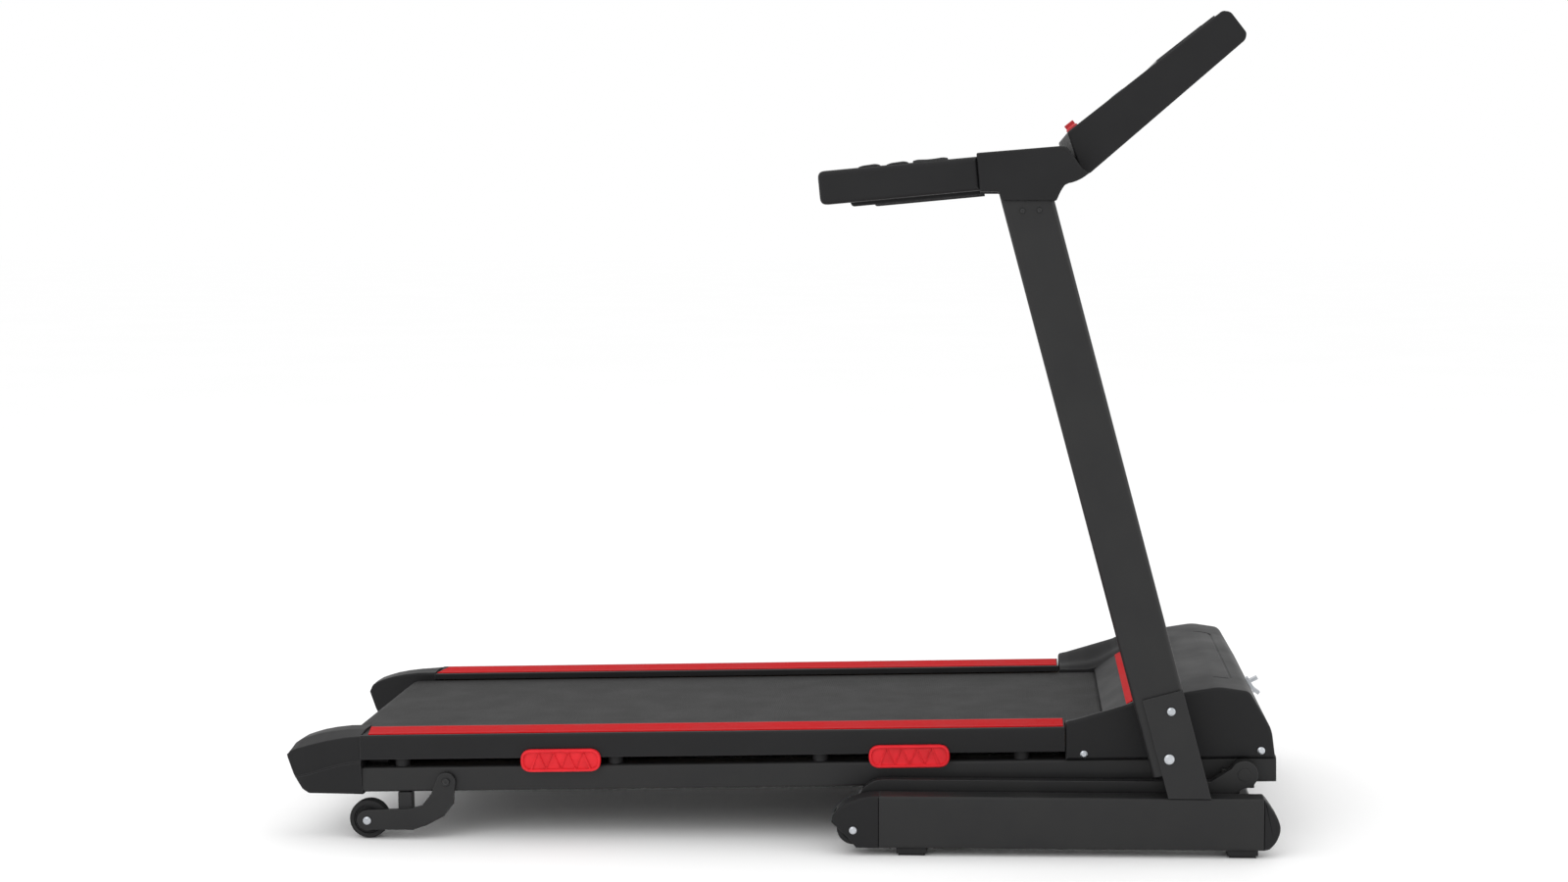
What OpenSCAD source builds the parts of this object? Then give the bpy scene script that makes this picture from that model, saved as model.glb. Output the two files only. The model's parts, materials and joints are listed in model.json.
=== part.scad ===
// Folding motorised treadmill with power incline: a low base carries two raked posts, a running deck
// that folds up about a front cross shaft, and a lifting frame that raises that shaft for incline.
// +X points forward (the way the runner faces), +Y is the runner's left, Z = 0 is the floor.

/* [Base] */
// Length of the base side tubes
base_len = 606; // [580:1:620]
// Where the base side tubes begin, ahead of the middle of the machine
base_rear_x = 166; // [150:1:180]
// Half of the overall frame width
half_w = 365; // [355:1:375]
// Width of a base side tube
base_tube_w = 40; // [36:1:44]
// Height of a base side tube
base_tube_h = 83.5; // [70:0.5:90]
// Height of the rubber feet
foot_h = 13; // [8:1:20]

/* [Uprights] */
// Depth of an upright tube along the machine
post_depth = 80; // [70:1:90]
// Rearward rake of the uprights, degrees
post_rake = 15; // [10:0.5:20]
// Where an upright meets the top of the base
post_foot_x = 647.7; // [640:0.1:655]
// Height at which the uprights end
post_top_z = 1090; // [1080:1:1095]

/* [Deck] */
// Height of the fold shaft above the floor
fold_z = 124; // [120:1:128]
// Position of the fold shaft along the machine
fold_x = 745.25; // [740:0.25:750]
// Upward slope of the deck towards the front, degrees
deck_slope = 1.1; // [0.5:0.1:1.5]
// Distance from the fold shaft back to the end of the deck tubes
deck_len = 1424; // [1400:1:1440]
// Width of the running belt
belt_w = 420; // [400:1:424]
// Half of the deck width over the side tubes
deck_half = 285; // [282:1:287]
// Diameter of the deck rollers
roller_d = 49; // [44:1:49]

/* [Console] */
// Tilt of the console face above horizontal, degrees
console_tilt = 38; // [30:1:45]
// Length of the console face
console_len = 303; // [290:1:310]
// Half of the console width
console_half = 310; // [300:1:312]
// Upward slope of the hand rails towards the front, degrees
handle_slope = 5.3; // [3:0.1:7]
// Height of a hand rail's section
handle_h = 52; // [48:1:54]

/* [Hidden] */
$fn = 48;

fit = 0.05;              // radial clearance of a running fit
gap = 0.5;               // clearance between parts that pass each other
steel = 3;               // wall of the steel tubes
corner_r = 5;            // outer corner radius of the frame tubes
post_r = 9;              // outer corner radius of the uprights
post_bolts = [[-8, 68], [14, 141]];  // bolts of an upright, along and up from its foot
skin = 3;                // wall of the moulded covers
base_top = foot_h + base_tube_h;
base_front_x = base_rear_x + base_len;
tube_in = half_w - base_tube_w;
lift_x = 172;            // hinge of the lifting frame
lift_z = 66;
arm_in = 299;            // lifting arms lie between deck and base tubes
arm_out = 317;
tube_bot = -20;          // deck side tubes, heights from the fold shaft
tube_top = 21;
rail_bot = 35;
rail_top = 74;
rail_out = 290;
rail_in = belt_w / 2 + 5;
board_bot = 43;
board_top = 61;
roll_w = 36;             // height of the roller axles
front_roll_u = -225;
rear_roll_u = -1449;
axle_r = 8.5;
shaft_r = 10;
motor_x = 690;
motor_z = 190;
motor_shaft_r = 7.5;
pulley_y = -226;         // middle of the drive belt, on the runner's right
roller_pulley_r = 29;
motor_pulley_r = 17;
lever_y = 150;           // incline actuator's plane
actuator_x = 700;        // actuator's lower pivot
actuator_z = 35;
lever_x = 690;           // actuator's upper pivot
lever_z = 215;
strut_y = -225;          // gas strut's plane
strut_low_x = 730;
strut_low_z = 35;
strut_top_x = 422;
strut_top_z = 80;
caster_x = -669.75;      // rear wheel
caster_z = 32;
caster_r = 31.9;
console_x = 458;         // lower edge of the console face
console_z = 1138;
handle_x = 72.75;        // rear top corner of a hand rail
handle_z = 1077;
handle_len = 247.5;
key_at = 23;             // middle of the safety key, up the console face
carry_x = 124.5;         // transport wheel in the base's rear cap
carry_z = 42;
carry_r = 27;

charcoal = "#3a3b3d";
graphite = "#2e2f31";
rubber_black = "#1d1d1f";
zinc = "#b9bcc0";
red = "#d81e2c";

// ---- helpers -------------------------------------------------------------------------------

// A side view (x forward, y up) given thickness from y0 to y1 across the machine
module side_slab(y0, y1) {
    translate([0, y1, 0]) rotate([90, 0, 0]) linear_extrude(y1 - y0) children();
}

// The same piece on both sides of the machine
module both_sides() {
    children();
    mirror([0, 1, 0]) children();
}

// A cylinder across the machine, in the plane of the side view
module cross_pin(x, z, r, y0, y1) {
    translate([x, y0, z]) rotate([-90, 0, 0]) cylinder(r = r, h = y1 - y0);
}

// Places children in the deck's own frame, whose origin is the fold shaft
module on_deck() {
    translate([fold_x, 0, fold_z]) rotate([0, -deck_slope, 0]) children();
}

// Places children in the console's frame: x runs up its face, z stands out of it
module on_console() {
    translate([console_x, 0, console_z]) rotate([0, -console_tilt, 0]) children();
}

// Places children in an upright's frame, whose origin is its foot on the base
module on_post(side) {
    translate([post_foot_x, side * (half_w + tube_in) / 2, base_top])
        rotate([0, -post_rake, 0]) children();
}

// Places children in a hand rail's frame: x runs forward along its top
module on_handle() {
    translate([handle_x, 0, handle_z]) rotate([0, -handle_slope, 0]) children();
}

// Rectangle with round corners, from corner a to corner b
module round_rect(a, b, r) {
    translate([a[0] + r, a[1]]) square([b[0] - a[0] - 2 * r, b[1] - a[1]]);
    translate([a[0], a[1] + r]) square([b[0] - a[0], b[1] - a[1] - 2 * r]);
    for (x = [a[0] + r, b[0] - r], y = [a[1] + r, b[1] - r]) translate([x, y]) circle(r);
}

// Box from corner a to corner b
module block(a, b) {
    translate(a) cube(b - a);
}

// Section of a rolled steel tube with round corners
module tube_section(a, b, r) {
    difference() {
        round_rect(a, b, r);
        round_rect(a + [steel, steel], b - [steel, steel], r - steel);
    }
}

// Tube along the machine, with its section's corners given as [across, up]
module tube_along(x0, x1, a, b) {
    translate([x0, 0, 0]) rotate([90, 0, 90]) linear_extrude(x1 - x0)
        tube_section(a, b, corner_r);
}

// Tube across the machine, with its section's corners given as [along, up]
module tube_across(a, b, half) {
    side_slab(-half, half) tube_section(a, b, corner_r);
}

// Domed bolt head standing out of a side face, facing +y
module bolt_head(x, y, z, r, h) {
    translate([x, y, z]) rotate([-90, 0, 0]) {
        cylinder(r = r, h = h * 0.6);
        translate([0, 0, h * 0.6]) cylinder(r1 = r, r2 = r * 0.6, h = h * 0.4);
    }
}

// A bar between two points of the side view
module bar(p, q, w) {
    ang = atan2(q[1] - p[1], q[0] - p[0]);
    translate(p) rotate(ang) translate([0, -w / 2]) square([norm(q - p), w]);
}

// ---- base ----------------------------------------------------------------------------------

module base_side_tubes() color(charcoal) both_sides()
    difference() {
        tube_along(base_rear_x, base_front_x, [tube_in, foot_h], [half_w, base_top]);
        cross_pin(lift_x, lift_z, 8 + fit, tube_in - 1, tube_in + steel + 1);
    }

module base_crossbars() color(charcoal) {
    tube_across([262, foot_h + 2], [302, foot_h + 34], tube_in);
    difference() {
        union() {
            side_slab(-tube_in, tube_in) round_rect([742, foot_h + 1], [772, foot_h + 38], corner_r);
            for (y = [lever_y - 18, lever_y + 12]) side_slab(y, y + 6) {
                translate([actuator_x, actuator_z]) circle(16);
                translate([actuator_x, actuator_z - 16]) square([44, 32]);
            }
        }
        cross_pin(actuator_x, actuator_z, 6 + fit, lever_y - 30, lever_y + 30);
        for (s = [-1, 1])
            block([742 + steel, s > 0 ? lever_y + 30 : -tube_in - 1, foot_h + 1 + steel],
                  [772 - steel, s > 0 ? tube_in + 1 : lever_y - 30, foot_h + 38 - steel]);
    }
}

// U-shaped brackets welded on the base: two cheeks and a block that each upright stands on
module upright_bracket() {
    cheek_len = 169;
    seat = 44;
    intersection() {
        on_post(1) difference() {
            block([-25, -24, -30], [40, 20, cheek_len]);
            block([-41, -20, seat], [41, 16, cheek_len + 1]);
            block([-22, -17, -31], [37, 13, seat - 4]);
            for (p = post_bolts) translate([p[0], 0, p[1]]) rotate([90, 0, 0])
                cylinder(r = 4.2, h = 80, center = true);
        }
        block([500, 250, base_top], [800, 380, 300]);
    }
}

module upright_brackets() color(charcoal) both_sides() upright_bracket();

// Nose and tail caps of the base tubes
module base_tail_cap() {
    nose = [for (a = [90 : 10 : 170]) [base_rear_x + 76 * cos(a), 54 + 42.5 * sin(a)]];
    difference() {
        side_slab(tube_in, half_w)
            polygon(concat(nose, [[90, 54], [118, 27], [129, foot_h], [base_rear_x, foot_h]]));
        block([80, tube_in + 9, -1], [158, half_w - 9, 73]);
        cross_pin(carry_x, carry_z, 4 + fit, tube_in - 1, half_w + 1);
        cross_pin(lift_x, lift_z, 9, tube_in - 1, tube_in + 9);
    }
}

module base_nose_cap() {
    side_slab(tube_in, half_w) polygon([
        [base_front_x, base_top], [base_front_x + 5, base_top - 5], [base_front_x + 13, 80],
        [base_front_x + 22, 66], [base_front_x + 27, 52], [base_front_x + 26, 40],
        [base_front_x + 20, 26], [base_front_x + 10, foot_h + 2], [base_front_x, foot_h]]);
}

module base_end_caps() color(graphite) both_sides() {
    base_tail_cap();
    base_nose_cap();
}

module base_feet() color(rubber_black) both_sides()
    for (x = [217, 740]) translate([x, (half_w + tube_in) / 2, 0]) {
        block([-24, -15, 4], [24, 15, foot_h]);
        block([-21, -12, 0], [21, 12, 4]);
    }

module transport_wheel(side) {
    mid = side * (half_w + tube_in) / 2;
    difference() {
        union() {
            cross_pin(carry_x, carry_z, carry_r, mid - 8, mid + 8);
            cross_pin(carry_x, carry_z, 9, mid - 10.5, mid + 10.5);
        }
        cross_pin(carry_x, carry_z, 4 + fit, mid - 20, mid + 20);
    }
}
module transport_wheel_left() color(rubber_black) transport_wheel(1);
module transport_wheel_right() color(rubber_black) transport_wheel(-1);

// ---- uprights, covers and hand rails ----------------------------------------------------------

module upright(side) {
    seat = 44;
    len = (post_top_z - base_top) / cos(post_rake);
    on_post(side) difference() {
        translate([0, 0, seat]) linear_extrude(len - seat)
            tube_section([-post_depth / 2, side > 0 ? -20 : -16],
                         [post_depth / 2, side > 0 ? 16 : 20], post_r);
        for (p = post_bolts) translate([p[0], 0, p[1]]) rotate([90, 0, 0])
            cylinder(r = 4.2, h = 80, center = true);
    }
}
module upright_left() color(charcoal) upright(1);
module upright_right() color(charcoal) upright(-1);

// Bolts through the upright brackets, transport wheel axles and the cover screws
module base_fasteners() color(zinc) both_sides() {
    on_post(1) for (p = post_bolts) translate([p[0], 0, p[1]]) {
        rotate([90, 0, 0]) cylinder(r = 4, h = 46, center = true);
        bolt_head(0, 20, 0, p[1] == 68 ? 8 : 6.5, 4);
        translate([0, -24, 0]) rotate([90, 0, 0]) cylinder(r = 7, h = 3, $fn = 6);
    }
    cross_pin(carry_x, carry_z, 4, tube_in + 1, half_w);
    bolt_head(carry_x, half_w, carry_z, 6, 3);
    for (p = [[389, 1017], [415, 1018]]) bolt_head(p[0], half_w - 4, p[1], 3.5, 2);
}

// Moulded cover where a hand rail, an upright and the console bar meet
module upright_cover() {
    outer = [[320.5, 1105.3], [454, 1116.4], [463, 1107], [481, 1080], [492, 1075], [480, 1066],
             [466, 1060], [456, 1059], [448, 1048], [441, 1032], [357, 1032], [352, 1046],
             [325.5, 1046]];
    inner = [[323.5, 1102], [452, 1113], [460, 1105], [476, 1080], [466, 1064], [454, 1062],
             [444, 1050], [440, 1031], [350, 1031], [350, 1049], [328.5, 1049]];
    difference() {
        side_slab(tube_in - 5, half_w + 2) polygon(outer);
        side_slab(tube_in - 2, half_w - 1) polygon(inner);
    }
}
module upright_cover_left() color(graphite) upright_cover();
module upright_cover_right() color(graphite) mirror([0, 1, 0]) upright_cover();

rocker_at = 175;         // middle of the rocker along the hand rail
rocker_half = 27;
rocker_pin_w = -4.6;       // height of its pin, from the top of the hand rail

// Hollow hand rail with a grip ridge under its inner edge and a pocket for the rocker
module handle() {
    on_handle() difference() {
        union() {
            translate([0, half_w, 0]) rotate([90, 0, 0]) linear_extrude(base_tube_w + 5)
                round_rect([0, -handle_h], [handle_len, 0], 7);
            block([handle_len - 12, half_w - 45, -handle_h], [handle_len, half_w, 0]);
            translate([0, half_w - 34, 0]) rotate([90, 0, 0]) linear_extrude(8)
                polygon([[44, -handle_h + 1], [47, -handle_h - 6.5], [handle_len, -handle_h - 6.5],
                         [handle_len, -handle_h + 1]]);
        }
        block([5, half_w - 40, -handle_h + 5], [handle_len + 1, half_w - 5, -12]);
        block([rocker_at - rocker_half - gap, half_w - 38 - gap, -8],
              [rocker_at + rocker_half + gap, half_w - 7 + gap, 1]);
        translate([rocker_at, half_w - 42, rocker_pin_w]) rotate([-90, 0, 0])
            cylinder(r = 2 + fit, h = 39);
    }
}
module handle_left() color(charcoal) handle();
module handle_right() color(charcoal) mirror([0, 1, 0]) handle();

// Raised pulse sensing pads on the hand rails
module pulse_pads() color(rubber_black) both_sides() on_handle()
    for (x = [63, 107])
        translate([0, half_w - 9, 0]) rotate([90, 0, 0]) linear_extrude(27)
            polygon([[x, 0], [x + 34, 0], [x + 32, 2.6], [x + 26, 3.6], [x + 8, 2.6]]);

// Rocker key on a cross pin below its middle
module rocker() on_handle() {
    translate([rocker_at, half_w - 41, rocker_pin_w]) rotate([-90, 0, 0]) cylinder(r = 2, h = 37);
    translate([0, half_w - 7, 0]) rotate([90, 0, 0]) linear_extrude(31)
        polygon([[rocker_at - rocker_half, -3], [rocker_at - 5, -7], [rocker_at + 5, -7],
                 [rocker_at + rocker_half, -3], [rocker_at + rocker_half, 2.5],
                 [rocker_at + 20, 4], [rocker_at, 2.6], [rocker_at - 20, 4],
                 [rocker_at - rocker_half, 2.5]]);
}
module incline_rocker() color(rubber_black) rocker();
module speed_rocker() color(rubber_black) mirror([0, 1, 0]) rocker();

// ---- console -------------------------------------------------------------------------------

// Steel bar between the uprights, with end plates and two arms that carry the console
module console_crossbar() color(charcoal) {
    bar_in = tube_in - 9;
    tube_across([430, 1076], [467, 1104], bar_in);
    both_sides() {
        side_slab(bar_in, tube_in - 5) polygon([[352, 1060], [400, 1056], [467, 1076], [467, 1104],
                                                [448, 1104], [350, 1086]]);
        on_console() block([-25, 110, -47], [130, 150, -41]);
    }
}

// Rear shell of the console, a hollow box that deepens towards its lower end
module console_shell() color(graphite) {
    inset = 16;
    outer = [[0, 0], [console_len, 0], [312, -9], [312, -50], [304, -57.4], [-12, -72],
             [-20, -66], [-20, -60]];
    inner = [[2, -4 - skin], [console_len - skin, -4 - skin], [309, -12], [309, -49],
             [303, -54.4], [-11, -69], [-17, -64], [-17, -59]];
    on_console() difference() {
        side_slab(-console_half, console_half) polygon(outer);
        side_slab(-console_half + skin, console_half - skin) polygon(inner);
        block([8, -console_half + inset, -10], [console_len - 8, console_half - inset, 1]);
        for (y = [-151, 109]) block([-30, y, -56], [0, y + 42, -35]);
    }
}

// Face panel with its raised display bezel
module console_panel() color("#26272a") {
    edge = console_half - 16 - gap;
    on_console() difference() {
        union() {
            block([8.5, -edge, -4], [console_len - 8.5, edge, 0]);
            block([178, -edge + 10, 0], [console_len - 10, edge - 10, 5]);
        }
        block([190, -140, 2], [282, 140, 6]);
        for (y = [-105, -35, 35, 105]) translate([110, y, -5]) cylinder(r = 13 + gap, h = 10);
        translate([key_at, 0, -3]) cylinder(r = 11.5, h = 10);
        block([198, -130, -5], [274, 130, 3]);
    }
}

module display_lens() color("#101418") on_console() block([190.2, -139.8, 2], [281.8, 139.8, 4.2]);

module console_button(y) {
    on_console() translate([110, y, -6]) {
        cylinder(r = 13, h = 8.5);
        translate([0, 0, -2]) cylinder(r = 15, h = 2);
    }
}
module start_button() color("#2f8f4e") console_button(-35);
module stop_button() color(red) console_button(35);
module mode_button() color("#c9ccd0") console_button(-105);
module program_button() color("#c9ccd0") console_button(105);

// Pull-out safety key with a finger knob
module safety_key() color(red) on_console() translate([key_at, 0, -3]) {
    cylinder(r = 11, h = 8);
    translate([0, 0, 8]) cylinder(r1 = 11, r2 = 8, h = 2);
    block([-9, -2.5, 10], [9, 2.5, 18]);
}

// ---- lifting frame ---------------------------------------------------------------------------

module incline_arm() difference() {
    side_slab(arm_in, arm_out) {
        translate([lift_x, lift_z]) circle(46);
        translate([lift_x, 62]) square([520, 50]);
        polygon([[680, 62], [692, 112], [745, 146], [767, 124], [745, 102]]);
        translate([fold_x, fold_z]) circle(22);
    }
    cross_pin(lift_x, lift_z, 16, arm_in - 1, arm_out + 1);
    cross_pin(fold_x, fold_z, shaft_r + fit, arm_in - 1, arm_out + 1);
}

// Bracket from the left arm that reaches under the deck and up to the actuator
module actuator_lever() {
    difference() {
        union() {
            block([652, lever_y - 18, 64], [682, arm_in + 1, 92]);
            for (y = [lever_y - 18, lever_y + 12]) side_slab(y, y + 6) {
                polygon([[652, 66], [682, 66], [703, 215], [677, 215]]);
                translate([lever_x, lever_z]) circle(14);
            }
        }
        block([655, lever_y + 18, 67], [679, arm_in, 89]);
        block([640, lever_y - 12, 50], [720, lever_y + 12, 240]);
    }
    block([652, lever_y - 12, 64], [659, lever_y + 12, 80]);
    cross_pin(lever_x, lever_z, 6, lever_y - 12, lever_y + 12);
}

module incline_arms() color(charcoal) {
    both_sides() incline_arm();
    actuator_lever();
}

// Cross tube at the lifting hinge; its ends turn in the base side tubes
module incline_crossbar() color(charcoal) {
    cross_pin(lift_x, lift_z, 16, -arm_out, arm_out);
    cross_pin(lift_x, lift_z, 8, -tube_in - 8, tube_in + 8);
}

// Cross shaft that the deck folds about, with its end plates and the gas strut's bracket
module fold_shaft() color(zinc) {
    cross_pin(fold_x, fold_z, shaft_r, -arm_out - 1, arm_out + 1);
    both_sides() side_slab(deck_half + 1.5, arm_in - 1.5) {
        translate([fold_x, fold_z]) circle(20);
        translate([fold_x - 34, fold_z - 26]) square([52, 30]);
    }
    difference() {
        for (y = [strut_y - 13, strut_y + 9]) side_slab(y, y + 4) {
            translate([fold_x, fold_z]) circle(16);
            translate([strut_low_x, strut_low_z]) circle(10);
            bar([fold_x, fold_z], [strut_low_x, strut_low_z], 18);
        }
        cross_pin(strut_low_x, strut_low_z, 4 + fit, strut_y - 20, strut_y + 20);
    }
}

strut_len = norm([strut_top_x - strut_low_x, strut_top_z - strut_low_z]);
strut_angle = atan2(strut_top_z - strut_low_z, strut_top_x - strut_low_x);

// Places children along the gas strut: x runs from its lower eye to its upper eye
module on_strut() {
    translate([strut_low_x, strut_y, strut_low_z]) rotate([0, -strut_angle, 0]) children();
}

module strut_cylinder() color(graphite) on_strut() difference() {
    union() {
        rotate([0, 90, 0]) translate([0, 0, 12]) cylinder(r = 8.5, h = 168);
        rotate([-90, 0, 0]) translate([0, 0, -8]) cylinder(r = 9, h = 16);
        rotate([0, 90, 0]) cylinder(r = 6, h = 14);
        rotate([-90, 0, 0]) translate([0, 0, -13]) cylinder(r = 4, h = 26);
    }
    rotate([0, 90, 0]) translate([0, 0, 30]) cylinder(r = 4.5 + fit, h = 200);
}

module strut_rod() color(zinc) on_strut() {
    rotate([0, 90, 0]) translate([0, 0, 40]) cylinder(r = 4.5, h = strut_len - 44);
    translate([strut_len, 0, 0]) rotate([-90, 0, 0]) translate([0, 0, -7]) cylinder(r = 9, h = 14);
}

actuator_len = norm([lever_x - actuator_x, lever_z - actuator_z]);
actuator_angle = atan2(lever_z - actuator_z, lever_x - actuator_x);

// Places children along the actuator: x runs from its lower eye to its upper eye
module on_actuator() {
    translate([actuator_x, lever_y, actuator_z]) rotate([0, -actuator_angle, 0]) children();
}

module actuator_body() color(graphite) on_actuator() difference() {
    union() {
        rotate([0, 90, 0]) cylinder(r = 11.5, h = 150);
        rotate([-90, 0, 0]) translate([0, 0, -11]) cylinder(r = 15, h = 22);
        rotate([-90, 0, 0]) translate([0, 0, -18]) cylinder(r = 6, h = 36);
    }
    rotate([0, 90, 0]) translate([0, 0, 18]) cylinder(r = 7.5 + fit, h = 150);
}

module actuator_rod() color(zinc) on_actuator() difference() {
    union() {
        rotate([0, 90, 0]) translate([0, 0, 24]) cylinder(r = 7.5, h = actuator_len - 32);
        translate([actuator_len, 0, 0]) rotate([-90, 0, 0]) translate([0, 0, -10])
            cylinder(r = 13, h = 20);
    }
    translate([actuator_len, 0, 0]) rotate([-90, 0, 0]) cylinder(r = 7.5, h = 30, center = true);
}

// ---- deck frame ------------------------------------------------------------------------------

lug_in = deck_half - 48;

module deck_side_tubes() color(charcoal) both_sides() on_deck() difference() {
    union() {
        tube_along(-deck_len, 54, [deck_half - 40, tube_bot], [deck_half, tube_top]);
        block([front_roll_u - 20, lug_in, tube_bot + 5], [front_roll_u + 20, deck_half - 40, 52]);
        block([rear_roll_u - 14, lug_in, tube_bot + 5], [rear_roll_u + 36, deck_half - 40, 52]);
        block([rear_roll_u - 14, lug_in, tube_bot + 5], [rear_roll_u + 58, deck_half - 40, 42]);
    }
    cross_pin(0, 0, shaft_r + fit, lug_in - 1, deck_half + 1);
    for (u = [front_roll_u, rear_roll_u])
        cross_pin(u, roll_w, axle_r, lug_in - 1, deck_half - 39);
}

// Tubes across the deck frame, and the cheeks that guide the gas strut's upper eye
module deck_crossbars() color(charcoal) on_deck() {
    reach = deck_half - 40;
    for (u = [-1390, -1050, -700, -385, -160]) tube_across([u, tube_bot], [u + 30, 5], reach);
    block([34, -reach, 0], [54, reach, 12]);
    for (y = [strut_y - 13, strut_y + 9]) side_slab(y, y + 4)
        polygon([[-380, -18], [-380, -28], [-345, -52], [-310, -52], [-310, -34], [-356, -18]]);
}

// Plates that the rear wheel arms are bolted to, the J-shaped arms and their posts
module caster_arms() color(charcoal) both_sides() {
    side_slab(deck_half, deck_half + 7) {
        translate([-540, 96.5]) circle(15);
        polygon([[-555, 99], [-525, 99], [-529, 60], [-544, 40], [-572, 25], [-595, 17],
                 [caster_x, 17], [caster_x, 49], [-600, 51], [-580, 57], [-565, 76]]);
        translate([caster_x, caster_z]) circle(16.5);
    }
    cross_pin(caster_x, caster_z, 5, deck_half - 25, deck_half + 7);
    block([-620, deck_half - 22, 46], [-599, deck_half, 77]);
}

module rear_wheel() {
    difference() {
        union() {
            cross_pin(caster_x, caster_z, caster_r, deck_half - 23, deck_half - 2);
            cross_pin(caster_x, caster_z, 12, deck_half - 24, deck_half - 0.5);
        }
        cross_pin(caster_x, caster_z, 5 + fit, deck_half - 40, deck_half + 1);
    }
}
module rear_wheel_left() color(rubber_black) rear_wheel();
module rear_wheel_right() color(rubber_black) mirror([0, 1, 0]) rear_wheel();

module deck_board() color("#4a3b2e")
    on_deck() block([-1412, -deck_half + 2, board_bot], [front_roll_u - 34, deck_half - 2, board_top]);

// Soft mounts between the frame and the board; the red ones show a flange on each side
cushion_u = [-1097, -534];
block_u = [-1360, -1012, -679, -354];

module deck_cushions() color(red) both_sides() on_deck() for (u = cushion_u) {
    translate([u, rail_out + 7.5, 31]) rotate([90, 0, 0]) linear_extrude(7)
        round_rect([-65, -18.5], [65, 18.5], 17);
    block([u - 45, deck_half - 30, tube_top], [u + 45, deck_half, board_bot]);
    block([u - 45, deck_half - 1, 22], [u + 45, rail_out + 1, rail_bot - 0.5]);
}

module rubber_blocks() color(rubber_black) both_sides() on_deck() for (u = block_u)
    translate([u, deck_half - 16, tube_top]) cylinder(r = 12, h = board_bot - tube_top);

// Moulded side rail: a flat foot rest with an outer skirt and an inner lip beside the belt
module side_rail() {
    on_deck() translate([-deck_len, 0, 0]) rotate([90, 0, 90]) linear_extrude(deck_len - 284)
        polygon([[rail_in, board_top + 3], [rail_in, rail_top - 1], [rail_in + 1, rail_top],
                 [rail_out - 4, rail_top], [rail_out, rail_top - 4], [rail_out, rail_bot],
                 [rail_out - 3, rail_bot], [rail_out - 3, rail_top - 6], [rail_out - 5, rail_top - 3],
                 [248, rail_top - 3], [248, board_top], [238, board_top], [238, rail_top - 3],
                 [rail_in + 3, rail_top - 3], [rail_in + 3, board_top + 3]]);
}
module side_rail_left() color(graphite) side_rail();
module side_rail_right() color(graphite) mirror([0, 1, 0]) side_rail();

// Red inlay strips on the rails, and the accent across the motor hood
module red_trims() color(red) {
    both_sides() on_deck() block([-1422, 224, rail_top], [-286, 280, rail_top + 1.2]);
    side_slab(-210, 210) polygon([[563, 213.5], [582, 224.8], [581.2, 226.2], [562.2, 214.9]]);
}

// Shell at the rear end of a rail, which covers the roller's end
module deck_end_cap() {
    low = [[-deck_len, -24], [-1523, -20], [-1535, 10], [-1545, 43], [-1541, 56], [-1530, 64],
           [-1500, 70], [-1470, 73], [-deck_len, 73.5]];
    high = [[-deck_len, 20], [-1520, 20], [-1532, 55], [-1528, 64], [-1516, 68], [-1500, 72.5],
            [-1480, 76], [-1455, 78], [-deck_len, 78]];
    on_deck() difference() {
        union() {
            side_slab(rail_in, rail_out) polygon(low);
            side_slab(rail_in, 252) polygon(high);
        }
        side_slab(rail_in + skin, rail_out - skin)
            polygon([[-deck_len + 1, -21], [-1520, -17], [-1532, 12], [-1540, 43], [-1528, 60],
                     [-1500, 67], [-deck_len + 1, 70]]);
        side_slab(rail_in - 1, rail_in + skin + 1) {
            translate([rear_roll_u, roll_w]) circle(13);
            translate([rear_roll_u, roll_w - 13]) square([60, 26]);
        }
    }
}
module deck_end_cap_left() color(graphite) deck_end_cap();
module deck_end_cap_right() color(graphite) mirror([0, 1, 0]) deck_end_cap();

// Silver bolts and screws that ride with the deck
module deck_fasteners() color(zinc) both_sides() {
    bolt_head(caster_x, deck_half + 7, caster_z, 6.5, 3);
    bolt_head(-540, deck_half + 7, 96.5, 6, 2.5);
    for (p = [[491, 150], [774, 158]]) bolt_head(p[0], 292, p[1], 6, 3.5);
}

// ---- belt and drive ----------------------------------------------------------------------------

belt_r = roller_d / 2 + gap;

// Flat loop round two equal rollers
module belt_outline(r) {
    for (u = [front_roll_u, rear_roll_u]) translate([u, roll_w]) circle(r);
    translate([rear_roll_u, roll_w - r]) square([front_roll_u - rear_roll_u, 2 * r]);
}

module running_belt() color("#242527") on_deck() side_slab(-belt_w / 2, belt_w / 2)
    difference() {
        belt_outline(belt_r + 2);
        belt_outline(belt_r);
    }

module roller(u) {
    cross_pin(u, roll_w, roller_d / 2, -belt_w / 2 - 4, belt_w / 2 + 4);
}

module front_roller() color(zinc) on_deck() difference() {
    union() {
        roller(front_roll_u);
        cross_pin(front_roll_u, roll_w, roller_pulley_r, pulley_y - 8, pulley_y + 8);
        cross_pin(front_roll_u, roll_w, 15, pulley_y, -belt_w / 2);
        cross_pin(front_roll_u, roll_w, roller_pulley_r + 2.5, pulley_y - 9.5, pulley_y - 8);
    }
    cross_pin(front_roll_u, roll_w, axle_r + fit, -300, 300);
}

module rear_roller() color(zinc) on_deck() difference() {
    roller(rear_roll_u);
    cross_pin(rear_roll_u, roll_w, axle_r + fit, -300, 300);
}

module roller_axles() color(zinc) on_deck() for (u = [front_roll_u, rear_roll_u])
    cross_pin(u, roll_w, axle_r, -lug_in - 7, lug_in + 7);

// Motor can and its rear cap, bored for the rotor's shaft
module motor_body() color(graphite) difference() {
    union() {
        cross_pin(motor_x, motor_z, 48, -175, -35);
        cross_pin(motor_x, motor_z, 42, -180, -22);
    }
    cross_pin(motor_x, motor_z, motor_shaft_r + fit, -181, -30);
}

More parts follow.
